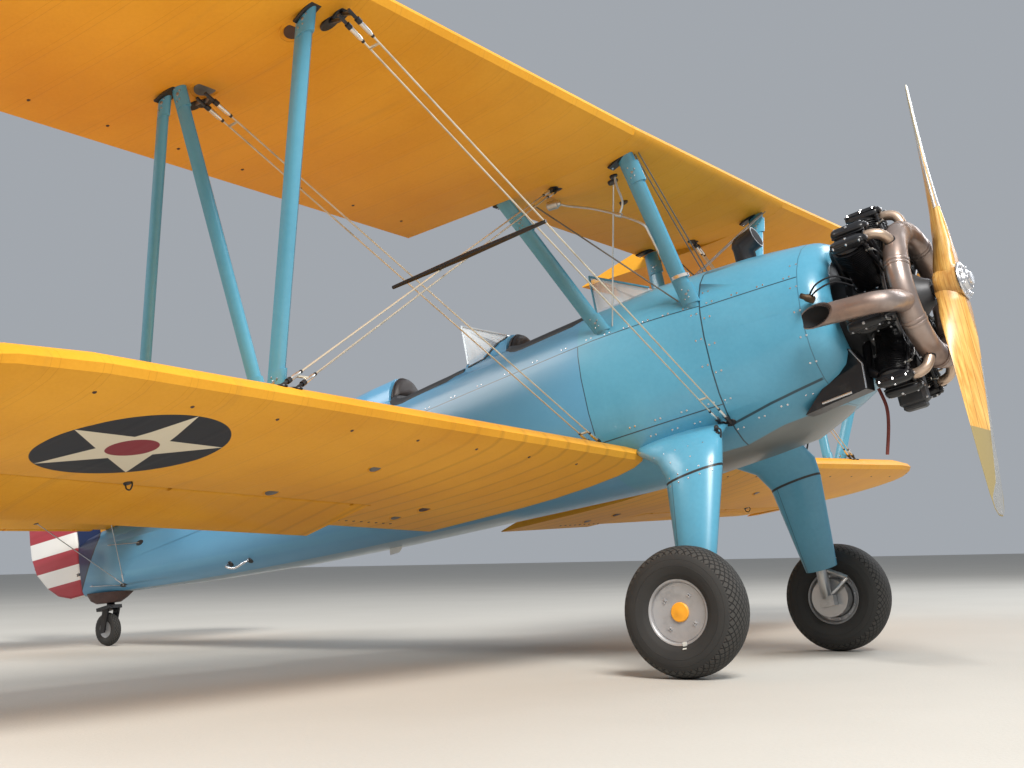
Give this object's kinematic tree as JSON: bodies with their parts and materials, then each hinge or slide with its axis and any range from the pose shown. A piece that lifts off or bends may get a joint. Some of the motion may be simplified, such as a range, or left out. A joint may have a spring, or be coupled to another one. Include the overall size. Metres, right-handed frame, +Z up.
{
  "type": "biplane training aircraft",
  "caption": "Open-cockpit two-seat biplane with exposed radial engine, braced wings, fixed wheels and moving controls.",
  "frame": {"origin": "on the ground under the middle of the parked aircraft's box", "axes": "+X forward towards the nose, +Y to the left wing tip, +Z up; parked nose-high on all three wheels"},
  "size_m": [7.6298, 9.804, 3.1098],
  "materials": {
    "blue_paint": "glossy sky-blue enamel, lightly worn",
    "yellow_fabric": "doped fabric in orange-yellow with rib tapes",
    "striped_fabric": "doped fabric in level red and white stripes",
    "stay_wire": "streamlined steel stay wire",
    "black_fittings": "semi-gloss black",
    "bare_metal": "machined and lightly oiled",
    "tyre": "diamond tread, dusty",
    "silver_paint": "silver lacquer",
    "engine_black": "black enamel on finned cylinders",
    "burnt_steel": "heat-stained steel, tan to brown",
    "varnished_wood": "varnished laminated wood",
    "black_leather": "worn black leather",
    "clear_sheet": "clear sheet"
  },
  "bodies": {
    "airframe": {"nose_cowl": "blue_paint", "fuselage_middle": "blue_paint", "fuselage_aft": "blue_paint", "centre_section": "yellow_fabric", "upper_wing_left": "yellow_fabric", "upper_wing_right": "yellow_fabric", "lower_wing_left": "yellow_fabric", "lower_wing_right": "yellow_fabric", "cabane_strut_front_left": "blue_paint", "cabane_strut_front_right": "blue_paint", "cabane_strut_rear_left": "blue_paint", "cabane_strut_rear_right": "blue_paint", "interplane_strut_front_left": "blue_paint", "interplane_strut_front_right": "blue_paint", "interplane_strut_rear_left": "blue_paint", "interplane_strut_rear_right": "blue_paint", "interplane_strut_slanting_left": "blue_paint", "interplane_strut_slanting_right": "blue_paint", "flying_wires_front_left": "stay_wire", "flying_wires_front_right": "stay_wire", "flying_wires_rear_left": "stay_wire", "flying_wires_rear_right": "stay_wire", "landing_wires_left": "stay_wire", "landing_wires_right": "stay_wire", "wire_spreader_left": "black_fittings", "wire_spreader_right": "black_fittings", "gear_leg_left": "blue_paint", "gear_leg_right": "blue_paint", "wheel_strut_left": "bare_metal", "wheel_strut_right": "bare_metal", "engine": "engine_black", "exhaust_collector": "burnt_steel", "air_scoop": "black_fittings", "vent_pipe": "black_fittings", "fin": "yellow_fabric", "tailplane": "yellow_fabric", "seat_front": "black_leather", "seat_rear": "black_leather", "windshield_front": "clear_sheet", "windshield_rear": "clear_sheet", "headrest_front": "black_leather", "headrest_rear": "black_leather"},
    "propeller": {"propeller": "varnished_wood", "propeller_hub": "bare_metal"},
    "main_wheel_left": {"tyre_left": "tyre", "wheel_left": "silver_paint"},
    "main_wheel_right": {"tyre_right": "tyre", "wheel_right": "silver_paint"},
    "tail_steering": {"tail_fork": "black_fittings"},
    "tail_wheel": {"tail_tyre": "tyre", "tail_hub": "silver_paint"},
    "rudder": {"rudder": "striped_fabric"},
    "elevators": {"elevator_left": "yellow_fabric", "elevator_right": "yellow_fabric"},
    "aileron_left": {"aileron_left": "yellow_fabric"},
    "aileron_right": {"aileron_right": "yellow_fabric"}
  },
  "joints": [
    {"name": "propeller_spin", "type": "hinge", "parent": "airframe", "child": "propeller", "pos_m": [3.5547, 0, 1.92122], "axis": [0.9776, 0, 0.2104], "continuous": true},
    {"name": "main_wheel_left_spin", "type": "hinge", "parent": "airframe", "child": "main_wheel_left", "pos_m": [2.49375, 0.9875, 0.316], "axis": [0, 1, 0], "continuous": true},
    {"name": "main_wheel_right_spin", "type": "hinge", "parent": "airframe", "child": "main_wheel_right", "pos_m": [2.49375, -0.9875, 0.316], "axis": [0, 1, 0], "continuous": true},
    {"name": "rudder_hinge", "type": "hinge", "parent": "airframe", "child": "rudder", "pos_m": [-3.2554, 0, 0.86439], "axis": [-0.2104, 0, 0.9776], "range_deg": [-30, 30]},
    {"name": "tail_wheel_steer", "type": "hinge", "parent": "airframe", "child": "tail_steering", "pos_m": [-2.85615, 0, 0.38774], "axis": [-0.2104, 0, 0.9776], "range_deg": [-30, 30]},
    {"name": "tail_wheel_spin", "type": "hinge", "parent": "tail_steering", "child": "tail_wheel", "pos_m": [-2.86484, 0, 0.124], "axis": [0, 1, 0], "continuous": true},
    {"name": "elevator_hinge", "type": "hinge", "parent": "airframe", "child": "elevators", "pos_m": [-2.92422, 0, 0.88453], "axis": [0, 1, 0], "range_deg": [-34, 14]},
    {"name": "aileron_right_hinge", "type": "hinge", "parent": "airframe", "child": "aileron_right", "pos_m": [0.91006, -1.47, 0.93057], "axis": [0.0079, 0.9993, -0.0366], "range_deg": [-10, 26]},
    {"name": "aileron_left_hinge", "type": "hinge", "parent": "airframe", "child": "aileron_left", "pos_m": [0.91006, 1.47, 0.93057], "axis": [-0.0079, 0.9993, 0.0366], "range_deg": [-26, 10]}
  ],
  "couplings": [
    {"joint": "aileron_left_hinge", "follows": "aileron_right_hinge", "ratio": -1},
    {"joint": "tail_wheel_steer", "follows": "rudder_hinge", "ratio": 1}
  ]
}
